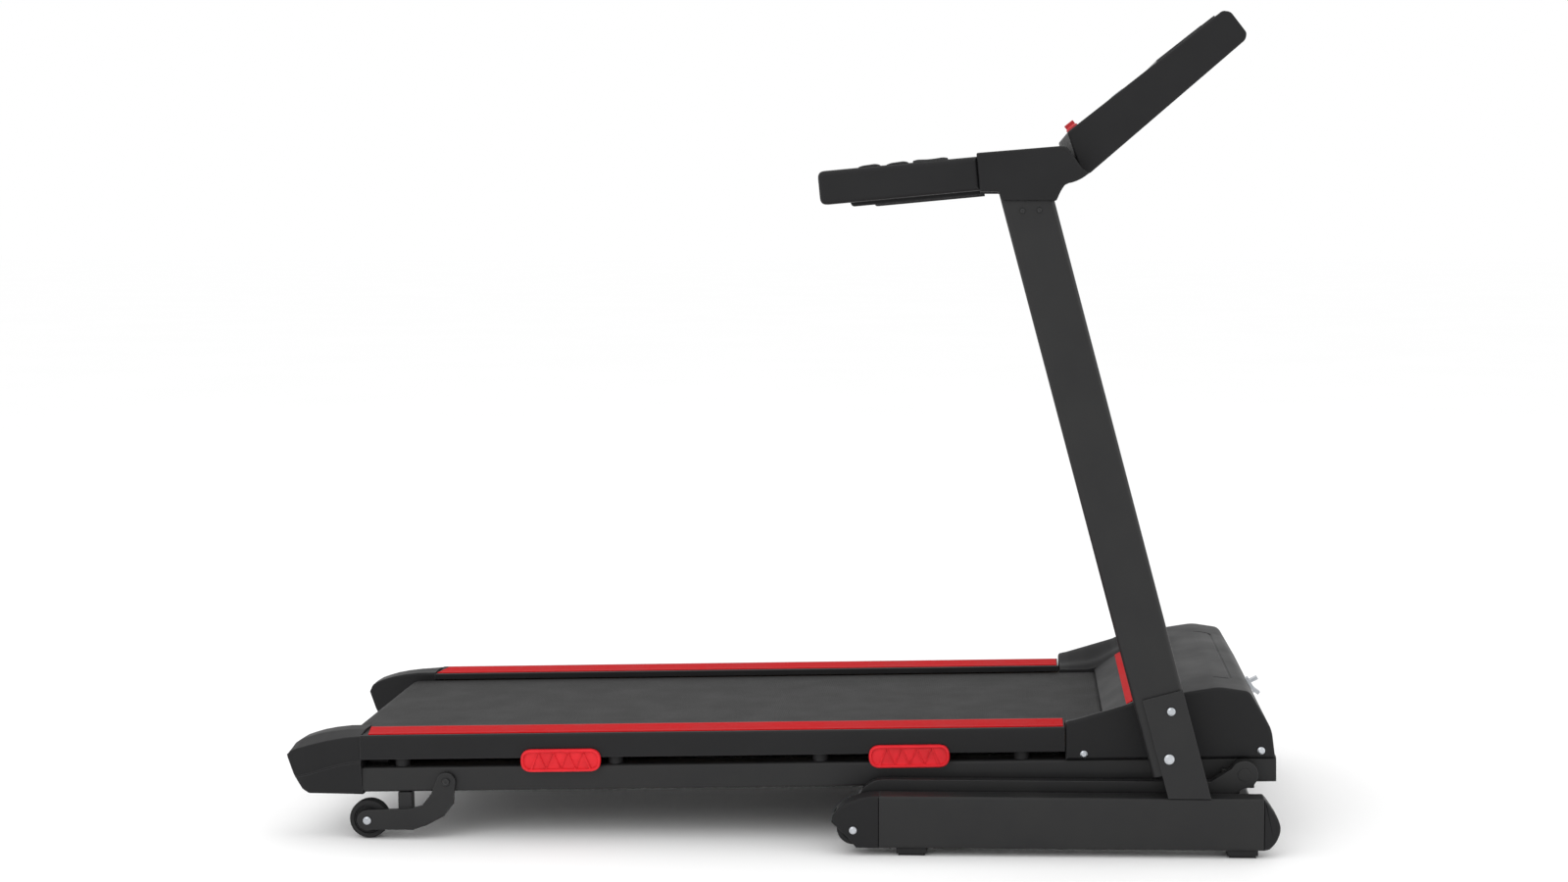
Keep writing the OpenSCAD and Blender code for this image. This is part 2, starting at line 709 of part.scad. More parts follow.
// Motor shaft with its flywheel fan and ribbed pulley
module motor_rotor() color(zinc) {
    cross_pin(motor_x, motor_z, motor_shaft_r, pulley_y - 9, -32);
    cross_pin(motor_x, motor_z, 45, -206, -186);
    cross_pin(motor_x, motor_z, motor_pulley_r, pulley_y - 8, -206);
}

// Tray that the motor and the control board stand on
module motor_tray() color(charcoal) difference() {
    union() {
        on_deck() block([-160, -208, 12], [54, 104, 15]);
        on_deck() for (y = [-205, 70]) block([-160, y, 5], [-130, y + 30, 12]);
        for (y = [-160, -70]) block([motor_x - 30, y, 136], [motor_x + 30, y + 22, 160]);
    }
    cross_pin(motor_x, motor_z, 48, -175, -35);
}

module control_board() color("#2f5d3a") on_deck() {
    block([-150, 8, 15], [10, 98, 19]);
    block([-140, 14, 19], [-100, 92, 52]);
    for (y = [24, 52, 80]) translate([-70, y, 19]) cylinder(r = 10, h = 32);
    block([-40, 20, 19], [0, 86, 36]);
}

// Ribbed belt from the motor pulley to the roller's pulley
module drive_belt() color(rubber_black) {
    far = [fold_x + front_roll_u * cos(deck_slope) - roll_w * sin(deck_slope),
           fold_z + front_roll_u * sin(deck_slope) + roll_w * cos(deck_slope)];
    side_slab(pulley_y - 7, pulley_y + 7) difference() {
        hull() {
            translate(far) circle(roller_pulley_r + gap + 2);
            translate([motor_x, motor_z]) circle(motor_pulley_r + gap + 2);
        }
        hull() {
            translate(far) circle(roller_pulley_r + gap);
            translate([motor_x, motor_z]) circle(motor_pulley_r + gap);
        }
    }
}

// ---- motor hood ------------------------------------------------------------------------------

hood_half = 292;
wing_in = 214;

// Moulded hood: high wings on both sides, a lower step in the middle where the belt goes under
module motor_hood() color(graphite) {
    side = [[461.5, 140], [461.5, 202], [476, 205], [562, 231], [567, 234], [659, 252.5],
            [707, 260], [755, 253], [791, 191], [794, 167], [797, 146]];
    cavity = [[464, 130], [464, 199], [476, 202], [562, 228], [567, 231], [659, 249.5],
              [706, 257], [753, 250], [788, 190], [791, 167], [794, 130]];
    step = [[440, 186], [524, 186], [560, 211.5], [645, 262], [645, 300], [440, 300]];
    step_roof = [[440, 100], [440, 186], [524, 186], [560, 211.5], [645, 262], [640, 255],
                 [561, 208], [525, 183.2], [525, 100]];
    difference() {
        side_slab(-hood_half, hood_half) polygon(side);
        difference() {
            side_slab(-hood_half + skin, hood_half - skin) polygon(cavity);
            side_slab(-wing_in - skin, wing_in + skin)
                polygon([[440, 160], [525, 183.2], [561, 208], [642, 256], [642, 300], [440, 300]]);
        }
        side_slab(-wing_in, wing_in) polygon(step);
        side_slab(-wing_in, wing_in) polygon([[440, 100], [526, 100], [526, 186.1], [440, 186.1]]);
        block([780, -60, 152], [800, 60, 184]);
        block([460, -deck_half + 1, 130], [488, deck_half - 1, 180.4]);
    }
}

// Power panel set in the front of the hood: inlet socket and switch housing
module power_inlet() color(rubber_black) difference() {
    union() {
        block([786, -59.5, 152.5], [793, 59.5, 183.5]);
        block([765, -50, 157], [787, -14, 180]);
        block([770, 8, 157], [787, 54, 180]);
    }
    block([768, -47, 160], [800, -17, 177]);
    block([773, 12, 158.5], [800, 33.5, 177.5]);
    cross_pin(switch_x, 168, 2 + fit, 9, 37);
}

switch_x = 782;          // pin that the power switch tilts on

module power_switch() color(red) {
    side_slab(12.5, 33) polygon([[776, 168], [786, 161.5], [795, 161.5], [792, 168],
                                 [795, 174.5], [786, 174.5]]);
    cross_pin(switch_x, 168, 2, 10, 36);
}

// Two-horned cleat on the hood's front slope, for winding up a loose cord
module cord_cleat() color(zinc) side_slab(-12, 2) {
    polygon([[776, 217], [790, 193], [795, 195.5], [781, 219.5]]);
    bar([783, 212], [797, 219], 5);
    bar([789, 200], [800, 192], 6);
}

base_side_tubes();
base_crossbars();
upright_brackets();
base_end_caps();
base_feet();
upright_left();
upright_right();
base_fasteners();
upright_cover_left();
upright_cover_right();
handle_left();
handle_right();
pulse_pads();
console_crossbar();
console_shell();
console_panel();
display_lens();
transport_wheel_left();
transport_wheel_right();
speed_rocker();
incline_rocker();
start_button();
stop_button();
mode_button();
program_button();
safety_key();
incline_arms();
incline_crossbar();
fold_shaft();
strut_cylinder();
strut_rod();
actuator_body();
actuator_rod();
deck_side_tubes();
deck_crossbars();
side_rail_left();
side_rail_right();
red_trims();
deck_board();
deck_cushions();
rubber_blocks();
running_belt();
roller_axles();
deck_end_cap_left();
deck_end_cap_right();
caster_arms();
deck_fasteners();
motor_hood();
motor_body();
motor_tray();
control_board();
power_inlet();
cord_cleat();
drive_belt();
front_roller();
rear_roller();
motor_rotor();
rear_wheel_left();
rear_wheel_right();
power_switch();
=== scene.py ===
"""Looks of a folding motorised treadmill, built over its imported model.

Shapes are worked out in millimetres in a few local frames of the side view (along, across, up) and put
into the row frame in metres when a piece is made.
"""

import json
import math

import bmesh
import bpy
import numpy as np
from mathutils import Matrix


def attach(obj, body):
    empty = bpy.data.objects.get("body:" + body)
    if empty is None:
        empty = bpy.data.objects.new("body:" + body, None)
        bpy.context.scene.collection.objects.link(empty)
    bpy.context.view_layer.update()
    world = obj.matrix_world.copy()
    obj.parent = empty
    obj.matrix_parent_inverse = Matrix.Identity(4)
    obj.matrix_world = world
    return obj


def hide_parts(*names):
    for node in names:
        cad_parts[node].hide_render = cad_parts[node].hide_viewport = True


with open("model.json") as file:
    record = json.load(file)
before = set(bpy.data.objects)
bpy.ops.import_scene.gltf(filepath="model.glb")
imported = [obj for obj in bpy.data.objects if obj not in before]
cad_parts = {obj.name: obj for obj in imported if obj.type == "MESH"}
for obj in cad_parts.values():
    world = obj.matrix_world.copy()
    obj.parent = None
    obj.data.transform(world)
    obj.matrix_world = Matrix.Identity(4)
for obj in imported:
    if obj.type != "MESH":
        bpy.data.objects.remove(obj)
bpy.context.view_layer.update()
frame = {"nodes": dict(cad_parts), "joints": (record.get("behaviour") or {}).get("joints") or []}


# ---- frames and measures -------------------------------------------------------------------------

def side_frame(origin, angle):
    """Turns local points (along, across, up) by angle degrees in the side view, then moves them to
    origin."""
    c, s = math.cos(math.radians(angle)), math.sin(math.radians(angle))
    axes = np.array([[c, 0, s], [0, 1, 0], [-s, 0, c]])
    origin = np.asarray(origin, float)

    def place(points):
        return (np.asarray(points, float) @ axes + origin) / 1000

    place.axes = axes
    return place


def span(node, axes=np.eye(3)):
    """Lowest and highest coordinates of a CAD node along a frame's axes, in millimetres."""
    mesh = frame["nodes"][node].data
    points = np.empty(len(mesh.vertices) * 3, np.float32)
    mesh.vertices.foreach_get("co", points)
    local = points.reshape(-1, 3) @ axes.T * 1000
    return local.min(0), local.max(0)


pivot = {j["name"]: np.array(j["pos_m"]) * 1000 for j in frame["joints"] if "pos_m" in j}
level = side_frame((0, 0, 0), 0)

run = pivot["front_roller_spin"] - pivot["rear_roller_spin"]
deck = side_frame(pivot["deck_fold"], math.degrees(math.atan2(run[2], run[0])))

CONSOLE_TILT = 38
tilt = side_frame((0, 0, 0), CONSOLE_TILT).axes
panel_low, _ = span("console_panel", tilt)
# The panel starts 8.5 mm up the face and its back lies 4 mm below the face
console = side_frame(np.array([panel_low[0] - 8.5, 0, panel_low[2] + 4]) @ tilt, CONSOLE_TILT)

HANDLE_SLOPE = 5.3
slope = side_frame((0, 0, 0), HANDLE_SLOPE).axes
rail_low, rail_high = span("handle_left", slope)
handle = side_frame(np.array([rail_low[0], 0, rail_high[2]]) @ slope, HANDLE_SLOPE)


# ---- shapes --------------------------------------------------------------------------------------

def rounded(outline, radius, steps=6):
    """Each corner becomes the quadratic curve (1-t)^2 a + 2t(1-t) p + t^2 b between the points a and b
    that lie radius before and after it on its two edges."""
    p = np.asarray(outline, float)
    back, ahead = np.roll(p, 1, 0) - p, np.roll(p, -1, 0) - p

    def towards(edge):
        length = np.hypot(*edge.T)
        return p + edge * (np.minimum(radius, 0.49 * length) / length)[:, None]

    a, b = towards(back), towards(ahead)
    t = np.linspace(0, 1, steps)[:, None, None]
    curve = (1 - t) ** 2 * a + 2 * t * (1 - t) * p + t ** 2 * b
    return curve.transpose(1, 0, 2).reshape(-1, 2)


def mitres(outline):
    """Outward vectors that move both edges at each corner out by one: the sum of the two edge normals
    divided by one plus their product."""
    step = np.roll(outline, -1, 0) - outline
    normal = np.stack([step[:, 1], -step[:, 0]], 1) / np.hypot(*step.T)[:, None]
    x, y = outline.T
    normal *= np.sign(np.sum(x * np.roll(y, -1) - y * np.roll(x, -1)))
    before = np.roll(normal, 1, 0)
    return (normal + before) / (1 + np.sum(normal * before, 1))[:, None]


def weave(points, capped):
    """Quads between neighbouring rings of points (rings, points on a ring, 3). The rings are capped
    with a flat face at each end, or the last joins the first."""
    rings, count = points.shape[:2]
    index = np.arange(rings * count).reshape(rings, count)
    ahead = np.roll(index, -1, 0)
    quads = np.stack([index, np.roll(index, -1, 1), np.roll(ahead, -1, 1), ahead], -1)
    if not capped:
        return points.reshape(-1, 3), quads.reshape(-1, 4).tolist()
    faces = quads[:-1].reshape(-1, 4).tolist() + [index[0, ::-1].tolist(), index[-1].tolist()]
    return points.reshape(-1, 3), faces


def box(x0, x1, z0, z1):
    """Corners of a rectangle."""
    return [(x0, z0), (x1, z0), (x1, z1), (x0, z1)]


def loft(rings, across, capped=True):
    """Skin over rings (along, up), each set at its own place across the machine."""
    y = np.repeat(np.asarray(across)[:, None], rings.shape[1], 1)
    return weave(np.stack([rings[..., 0], y, rings[..., 1]], -1), capped)


def slab(corners, low, high, rim=0.0, far_rim=None, radius=0.0, steps=5, bend=6):
    """Prism of an outline (along, up) from low to high across. Its rims are quarter rounds: a ring at
    rim (1 - cos t) from the end is drawn in by rim (1 - sin t), for t from 0 to a right angle. The
    corners of each ring are rounded by radius less what it is drawn in."""
    corners = np.asarray(corners, float)
    t = np.linspace(0, np.pi / 2, steps)
    ends = [(rim, t), (rim if far_rim is None else far_rim, t[::-1])]
    draw = np.concatenate([r * (1 - np.sin(a)) for r, a in ends])
    rise = np.concatenate([r * (1 - np.cos(a)) for r, a in ends])
    across = np.where(np.arange(2 * steps) < steps, low + rise, high - rise)
    rings = corners - mitres(corners) * draw[:, None, None]
    if np.any(radius):
        rings = np.stack([rounded(r, np.maximum(np.subtract(radius, d), 0.05), bend)
                          for r, d in zip(rings, draw)])
    return loft(rings, across)


def turn_angles(count):
    """Evenly spaced angles of one full turn."""
    return np.linspace(0, 2 * np.pi, count, endpoint=False)


def circle(x, y, radius, count):
    """Points round a circle."""
    angle = turn_angles(count)
    return np.stack([x + radius * np.cos(angle), y + radius * np.sin(angle)], 1)


def turned(part, order):
    """The same shape with its axes in another order."""
    return part[0][:, order], part[1]


def lathe(profile, centre, steps=64):
    """Closed profile (radius, across) carried round an axis across the machine through centre."""
    r, y = np.asarray(profile, float).T
    a = turn_angles(steps)[:, None]
    x, z = centre[0] + r * np.cos(a), centre[2] + r * np.sin(a)
    return weave(np.stack([x, np.broadcast_to(y + centre[1], x.shape), z], -1), False)


def strip(path, half_width):
    """Outline of a band along a bent line: the line moved half_width to one side, then back on the
    other."""
    path = np.asarray(path, float)
    step = np.gradient(path, axis=0)
    normal = np.stack([-step[:, 1], step[:, 0]], 1) / np.hypot(*step.T)[:, None]
    return np.concatenate([path + normal * half_width, (path - normal * half_width)[::-1]])


def rod(path, radius):
    """Round rod along a path: each ring lies across it, at path + radius (cos a side + sin a up)."""
    step = np.gradient(path, axis=0)
    across = np.stack([-step[:, 1], step[:, 0], np.zeros(len(path))], 1)
    across /= np.linalg.norm(across, axis=1)[:, None]
    a = turn_angles(12)[:, None]
    rings = path[:, None] + radius * (np.cos(a) * across[:, None] + np.sin(a) * np.array([0, 0, 1.0]))
    return weave(rings, True)


def both(parts):
    """The parts and their mirror images on the other side of the machine."""
    return parts + [(p * [1, -1, 1], f) for p, f in parts]


def right(parts):
    """The parts' mirror images on the runner's right."""
    return [(p * [1, -1, 1], f) for p, f in parts]


def mesh_of(name, parts, place):
    """One mesh from all parts, its doubles merged and its faces turned outwards."""
    starts = np.cumsum([0] + [len(p) for p, _ in parts])
    points = np.concatenate([place(p) for p, _ in parts])
    faces = [[i + start for i in face] for start, (_, part) in zip(starts, parts) for face in part]
    mesh = bpy.data.meshes.new(name)
    mesh.from_pydata(points.tolist(), [], faces)
    work = bmesh.new()
    work.from_mesh(mesh)
    bmesh.ops.remove_doubles(work, verts=work.verts, dist=2e-6)
    bmesh.ops.recalc_face_normals(work, faces=work.faces)
    work.to_mesh(mesh)
    work.free()
    return mesh


def carved(mesh, place, cuts=(), joined=()):
    """The mesh with other shapes added to it and then cut out of it."""
    base = bpy.data.objects.new("blank", mesh)
    others = []
    for kind, shapes in (("UNION", joined), ("DIFFERENCE", cuts)):
        for shape in shapes:
            tool = bpy.data.objects.new("tool", mesh_of("tool", [shape], place))
            change = base.modifiers.new("cut", "BOOLEAN")
            change.operation, change.object, change.solver = kind, tool, "EXACT"
            others.append(tool)
    for o in [base, *others]:
        bpy.context.scene.collection.objects.link(o)
    result = bpy.data.meshes.new_from_object(base.evaluated_get(bpy.context.evaluated_depsgraph_get()))
    for o in [base, *others]:
        bpy.data.objects.remove(o)
    return result


def piece(name, parts, place, body, finish, nodes=(), slot=None, cuts=(), joined=(), sharp=32):
    """A shown piece: its mesh, its finish, the body it moves with and the CAD nodes it stands for."""
    mesh = mesh_of(name, parts, place)
    if cuts or joined:
        mesh = carved(mesh, place, cuts, joined)
    mesh.materials.clear()
    mesh.materials.append(finish)
    mesh.shade_smooth()
    mesh.set_sharp_from_angle(angle=math.radians(sharp))
    shown = bpy.data.objects.new(name, mesh)
    bpy.context.scene.collection.objects.link(shown)
    shown.modifiers.new("even_shading", "WEIGHTED_NORMAL").keep_sharp = True
    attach(shown, body)
    if nodes:
        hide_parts(*nodes)


def pair(name, parts, place, body, finish, node, slot, cuts=(), joined=(), sharp=32):
    """A piece on the runner's left, and its mirror image on the right."""
    for side, seen in (("_left", list), ("_right", right)):
        piece(name + side, seen(parts), place, body, finish, [node + side], slot, seen(cuts),
              seen(joined), sharp)


# ---- finishes ------------------------------------------------------------------------------------

def linear(colour):
    """An sRGB hex colour as linear red, green, blue and alpha."""
    s = np.array([int(colour[i:i + 2], 16) for i in (0, 2, 4)]) / 255
    return (*np.where(s <= 0.04045, s / 12.92, ((s + 0.055) / 1.055) ** 2.4).tolist(), 1.0)


def put(tree, kind, inputs=(), **settings):
    """Adds a node: settings are its properties, and inputs maps sockets to values or to outputs."""
    node = tree.nodes.new("ShaderNode" + kind)
    for key, value in settings.items():
        setattr(node, key, value)
    for socket, value in dict(inputs).items():
        if isinstance(value, bpy.types.NodeSocket):
            tree.links.new(value, node.inputs[socket])
        else:
            node.inputs[socket].default_value = value
    return node


def finish(name, dark, light, rough, grain, height, patch=90, edge=1.2, highlight_gain=0.0,
           **shader_values):
    """A finish with slow colour drift over patch mm, roughness drift between two values, a grain of
    grain mm and height mm, and soft edges of edge mm that can carry a painted highlight, paler by the
    given gain."""
    material = bpy.data.materials.new(name)
    material.use_nodes = True
    tree = material.node_tree
    shader = tree.nodes["Principled BSDF"]
    where = put(tree, "TexCoord").outputs["Object"]
    drift = put(tree, "TexNoise", {"Vector": where, "Scale": 1000 / patch,
                                   "Detail": 4.0}).outputs["Fac"]
    spread = put(tree, "MapRange", {"Value": drift, "From Min": 0.3, "From Max": 0.7}).outputs["Result"]
    colour = put(tree, "Mix", {"Factor": spread, "A": linear(dark), "B": linear(light)},
                 data_type="RGBA").outputs["Result"]
    gloss = put(tree, "MapRange", {"Value": drift, "From Min": 0.3, "From Max": 0.7,
                                   "To Min": rough[0], "To Max": rough[1]}).outputs["Result"]
    soft = put(tree, "Bevel", {"Radius": edge / 1000}, samples=4).outputs["Normal"]
    if highlight_gain:
        # Painted highlight: pale grey is mixed into the colour where the bevelled normal turns away
        # from the face's own normal, standing in for light caught on rounded edges
        flat = put(tree, "NewGeometry").outputs["Normal"]
        same = put(tree, "VectorMath", {0: soft, 1: flat}, operation="DOT_PRODUCT").outputs["Value"]
        painted_edge_highlight = put(tree, "MapRange", {"Value": same, "From Min": 0.995, "From Max": 0.9,
                                      "To Max": highlight_gain}).outputs["Result"]
        colour = put(tree, "Mix", {"Factor": painted_edge_highlight, "A": colour, "B": linear("d8d8da")},
                     data_type="RGBA").outputs["Result"]
    texture = put(tree, "TexNoise", {"Vector": where, "Scale": 1000 / grain,
                                     "Detail": 2.0}).outputs["Fac"]
    bump = put(tree, "Bump", {"Height": texture, "Distance": height / 1000, "Strength": 1.0,
                              "Normal": soft}).outputs["Normal"]
    tree.links.new(colour, shader.inputs["Base Color"])
    tree.links.new(gloss, shader.inputs["Roughness"])
    tree.links.new(bump, shader.inputs["Normal"])
    for socket, value in shader_values.items():
        shader.inputs[socket.replace("_", " ")].default_value = value
    return material


def relief(material, height, build):
    """Adds a repeated relief under a finish's grain: build gets the tree and the Object coordinates and
    returns the height's output."""
    tree = material.node_tree
    grain = next(n for n in tree.nodes if n.bl_idname == "ShaderNodeBump")
    where = next(n for n in tree.nodes if n.bl_idname == "ShaderNodeTexCoord").outputs["Object"]
    soft = grain.inputs["Normal"].links[0].from_socket
    form = put(tree, "Bump", {"Height": build(tree, where), "Distance": height / 1000, "Normal": soft})
    tree.links.new(form.outputs["Normal"], grain.inputs["Normal"])
    return material


# Polyester powder coat on steel: satin, with a slight orange peel of 1 mm, drawn at 2.2 mm, and a
# painted highlight along its edges
powder_coat = finish("black_powder_coat", "1d1d1e", "232323", (0.4, 0.52), 2.2, 0.05,
                     edge=1.6, highlight_gain=0.05, Specular_IOR_Level=0.3)
# Injection moulded ABS: spark eroded grain of 0.4 mm, drawn at 1.1 mm, with a painted highlight along
# its edges
moulded_abs = finish("textured_black_abs", "19191a", "1e1e1f", (0.46, 0.58), 1.1, 0.045,
                     edge=1.5, highlight_gain=0.07, Specular_IOR_Level=0.2)
# The same ABS with a finer, glossier mould finish, for the console face, and a fainter painted
# highlight along its edges
satin_abs = finish("satin_black_abs", "141517", "191a1c", (0.28, 0.36), 0.9, 0.015,
                   edge=1.0, highlight_gain=0.04, Specular_IOR_Level=0.4)
# Printed polyester film over the console face
panel_film = finish("printed_panel_film", "17181a", "1c1d20", (0.3, 0.38), 0.7, 0.008, edge=0.4)
# Tyre and foot rubber: dull and slightly dusty
rubber = finish("moulded_rubber", "161617", "1e1e1f", (0.62, 0.78), 1.4, 0.05, patch=30, edge=0.8,
                Specular_IOR_Level=0.35)
# Grip rubber on the sensing pads and rocker keys
grip_rubber = finish("soft_touch_rubber", "1b1c1d", "232425", (0.5, 0.6), 0.8, 0.03, patch=25, edge=0.6)
# Bright zinc plate: cool, slightly uneven grey
zinc_plate = finish("bright_zinc_plate", "a9adb2", "c9ccd0", (0.24, 0.4), 1.5, 0.02, patch=18, edge=0.5,
                    Metallic=1.0)
# Turned mild steel of the rollers and shafts
turned_steel = finish("turned_steel", "9a9da1", "b7babd", (0.22, 0.34), 3.0, 0.008, patch=40, edge=0.5,
                      Metallic=1.0)
# Gloss moulded red ABS of the inlays, dulled by shoe soles
red_abs = finish("gloss_red_abs", "b2060f", "bb0a13", (0.5, 0.6), 1.6, 0.012, patch=120, edge=0.8,
                 IOR=1.3, Specular_IOR_Level=0.12)
# Red thermoplastic elastomer of the shock absorbers: dull sheen, a little light passes into it
red_elastomer = finish("red_tpe_elastomer", "d01420", "e3222d", (0.42, 0.55), 1.0, 0.03,
                       patch=22, edge=0.8, Specular_IOR_Level=0.3, Subsurface_Weight=0.08,
                       Subsurface_Radius=(0.004, 0.001, 0.001))
# Safety key and stop button
red_button = finish("red_button_abs", "b5121b", "c9202a", (0.28, 0.36), 1.0, 0.012,
                    patch=20, edge=0.6)
# Start button
green_button = finish("green_button_abs", "1f7a3f", "2a8b4a", (0.28, 0.36), 1.0, 0.012,
                      patch=20, edge=0.6)
# Mode and program buttons: silver lacquer on ABS
silver_button = finish("silver_painted_abs", "a2a5aa", "b4b7bb", (0.3, 0.4), 0.9, 0.01,
                       patch=20, edge=0.6, Metallic=0.4)
# Smoked acrylic over the display
smoked_acrylic = finish("smoked_acrylic", "07090b", "0a0d10", (0.05, 0.08), 4.0, 0.002, edge=0.5,
                        Coat_Weight=0.5, Coat_Roughness=0.03)
# Screen printed marks in pale grey ink
pale_ink = finish("pale_grey_ink", "b9bbbe", "c6c8ca", (0.5, 0.6), 0.8, 0.01, patch=15, edge=0.3)
# Unlit segments of the display: barely paler than the glass
segment_ink = finish("display_segment", "2b3a37", "31423e", (0.35, 0.45), 0.8, 0.005,
                     patch=15, edge=0.2)
# Belt: PVC top with an embossed diamond pattern. Its real 2 mm cells are drawn at 7 mm.
pvc_belt = finish("embossed_pvc_belt", "1a1a1a", "202020", (0.6, 0.7), 1.2, 0.03, patch=60, edge=0.4,
                  Specular_IOR_Level=0.28)
# Medium density fibreboard under the belt
mdf = finish("waxed_mdf", "4a3a2b", "5c4936", (0.55, 0.7), 1.6, 0.05, patch=14, edge=0.6)
# Solder masked glass epoxy of the control board
circuit_board = finish("green_solder_mask", "12351f", "1a4428", (0.3, 0.4), 1.2, 0.01,
                       patch=9, edge=0.3)


def diamonds(tree, where):
    """Height of crossed ridges: the larger of two sine waves that run at 45 degrees to the machine."""
    parts = put(tree, "SeparateXYZ", {0: where}).outputs
    pitch = 2 * math.pi / 0.007
    waves = []
    for sign in (1, -1):
        turn = put(tree, "Math", {0: parts["Y"], 1: float(sign)}, operation="MULTIPLY").outputs[0]
        total = put(tree, "Math", {0: parts["X"], 1: turn}, operation="ADD").outputs[0]
        phase = put(tree, "Math", {0: total, 1: pitch}, operation="MULTIPLY").outputs[0]
        waves.append(put(tree, "Math", {0: phase}, operation="SINE").outputs[0])
    return put(tree, "Math", {0: waves[0], 1: waves[1]}, operation="MAXIMUM").outputs[0]


relief(pvc_belt, 0.25, diamonds)

dressed = {
    powder_coat: ["base_side_tubes", "base_crossbars", "upright_brackets", "upright_left",
                  "upright_right", "console_crossbar", "incline_arms", "incline_crossbar",
                  "deck_side_tubes", "deck_crossbars", "caster_arms", "fold_shaft", "motor_tray",
                  "strut_cylinder", "motor_body", "actuator_body"],
    moulded_abs: ["base_end_caps", "upright_cover_left", "upright_cover_right", "handle_left",
                  "handle_right", "console_shell", "side_rail_left", "side_rail_right",
                  "deck_end_cap_left", "deck_end_cap_right", "motor_hood", "power_inlet"],
    satin_abs: ["console_panel"],
    rubber: ["base_feet", "rubber_blocks", "transport_wheel_left", "transport_wheel_right",
             "rear_wheel_left", "rear_wheel_right", "drive_belt"],
    grip_rubber: ["pulse_pads", "speed_rocker", "incline_rocker"],
    zinc_plate: ["base_fasteners", "deck_fasteners", "cord_cleat"],
    turned_steel: ["front_roller", "rear_roller", "roller_axles", "motor_rotor", "strut_rod",
                   "actuator_rod"],
    red_abs: ["red_trims"],
    red_elastomer: ["deck_cushions"],
    red_button: ["stop_button", "safety_key", "power_switch"],
    green_button: ["start_button"],
    silver_button: ["mode_button", "program_button"],
    smoked_acrylic: ["display_lens"],
    pvc_belt: ["running_belt"],
    mdf: ["deck_board"],
    circuit_board: ["control_board"],
}
for material, nodes in dressed.items():
    for node in nodes:
        mesh = frame["nodes"][node].data
        for i in range(len(mesh.materials)):
            mesh.materials[i] = material
        if not mesh.materials:
            mesh.materials.append(material)


# ---- running surface -----------------------------------------------------------------------------

deck_low, deck_high = span("side_rail_left", deck.axes)
origin = pivot["deck_fold"] @ deck.axes.T
RAIL_START, RAIL_END = deck_low[0] - origin[0], deck_high[0] - origin[0]
RAIL_TOP, RAIL_OUT, RAIL_IN = deck_high[2] - origin[2], deck_high[1], deck_low[1]
RAIL_BOTTOM, BOARD_TOP = deck_low[2] - origin[2], 61

# Foot rail: section with a rounded shoulder, a shallow channel for the inlay and a lip beside the belt
rail_section = [
    (RAIL_IN, BOARD_TOP + 3), (RAIL_IN, RAIL_TOP), (222, RAIL_TOP), (223.5, RAIL_TOP - 1),
    (280.5, RAIL_TOP - 1), (282, RAIL_TOP), (RAIL_OUT, RAIL_TOP), (RAIL_OUT, RAIL_BOTTOM),
    (RAIL_OUT - 3, RAIL_BOTTOM), (RAIL_OUT - 3, RAIL_TOP - 8), (RAIL_IN + 3, RAIL_TOP - 4),
    (RAIL_IN + 3, BOARD_TOP + 3)]
rail = [turned(slab(rail_section, RAIL_START, RAIL_END, 0.4, None,
                    [0.6, 2, 0.6, 0.6, 0.6, 0.6, 5, 0.8, 0.8, 2, 1, 0.6]), [1, 0, 2])]
pair("foot_rail", rail, deck, "deck", moulded_abs, "side_rail", "moulded_cover")

# Inlay: low crown with fine grip ribs along its middle, and ends cut on the slant
ribs = np.linspace(232, 272, 41)
rib_heights = RAIL_TOP + 0.9 + 0.25 * np.cos((ribs - 232) / 8 * 2 * np.pi)
inlay_section = np.concatenate([
    rounded([(224, RAIL_TOP - 1), (224, RAIL_TOP + 1.0), (228, RAIL_TOP + 1.15)],
            [0.1, 0.6, 0.5], 4)[:8],
    np.stack([ribs, rib_heights], 1),
    [(276, RAIL_TOP + 1.15), (279.4, RAIL_TOP + 1.0), (280, RAIL_TOP + 0.6), (280, RAIL_TOP - 1)]])
inlay_points, inlay_faces = slab(inlay_section, -1417, -286, 0.3)
inlay_points[:, 1] += (inlay_points[:, 0] - 252) * 0.18 * (inlay_points[:, 1] < -800)
inlay = turned((inlay_points, inlay_faces), [1, 0, 2])
accent = slab([(563, 213.5), (582, 224.8), (581.2, 226.2), (562.2, 214.9)], -210, 210, 0.4)
piece("rail_inlays", both([inlay]), deck, "deck", red_abs, ["red_trims"], "red_plastic")
piece("hood_accent", [accent], level, "deck", red_abs, slot="red_plastic")

# Belt: a two millimetre band with soft edges on a flat loop round both rollers
front_axis = (pivot["front_roller_spin"] - pivot["deck_fold"]) @ deck.axes.T
rear_axis = (pivot["rear_roller_spin"] - pivot["deck_fold"]) @ deck.axes.T
BELT_OUTER, BELT_THICK, BELT_HALF = 27.0, 2.0, 210
turn = np.linspace(-np.pi / 2, np.pi / 2, 33)
lines = np.linspace(0, 1, 24, endpoint=False)[1:]
heading = np.concatenate([turn, np.full(23, np.pi / 2), turn + np.pi, np.full(23, 1.5 * np.pi)])
back_run = rear_axis[0] - front_axis[0]
middle = np.concatenate([np.full(33, front_axis[0]), front_axis[0] + back_run * lines,
                         np.full(33, rear_axis[0]), rear_axis[0] - back_run * lines])
band = rounded([(-BELT_HALF, 0), (-BELT_HALF, BELT_THICK), (BELT_HALF, BELT_THICK), (BELT_HALF, 0)],
               0.8, 4)
out = BELT_OUTER - BELT_THICK + band[:, 1]
loop = np.stack([middle[:, None] + out * np.cos(heading)[:, None],
                 np.broadcast_to(band[:, 0], (len(middle), len(band))),
                 front_axis[2] + out * np.sin(heading)[:, None]], -1)
piece("belt_band", [weave(loop, False)], deck, "deck", pvc_belt, ["running_belt"], "belt")

# ---- deck end caps -------------------------------------------------------------------------------

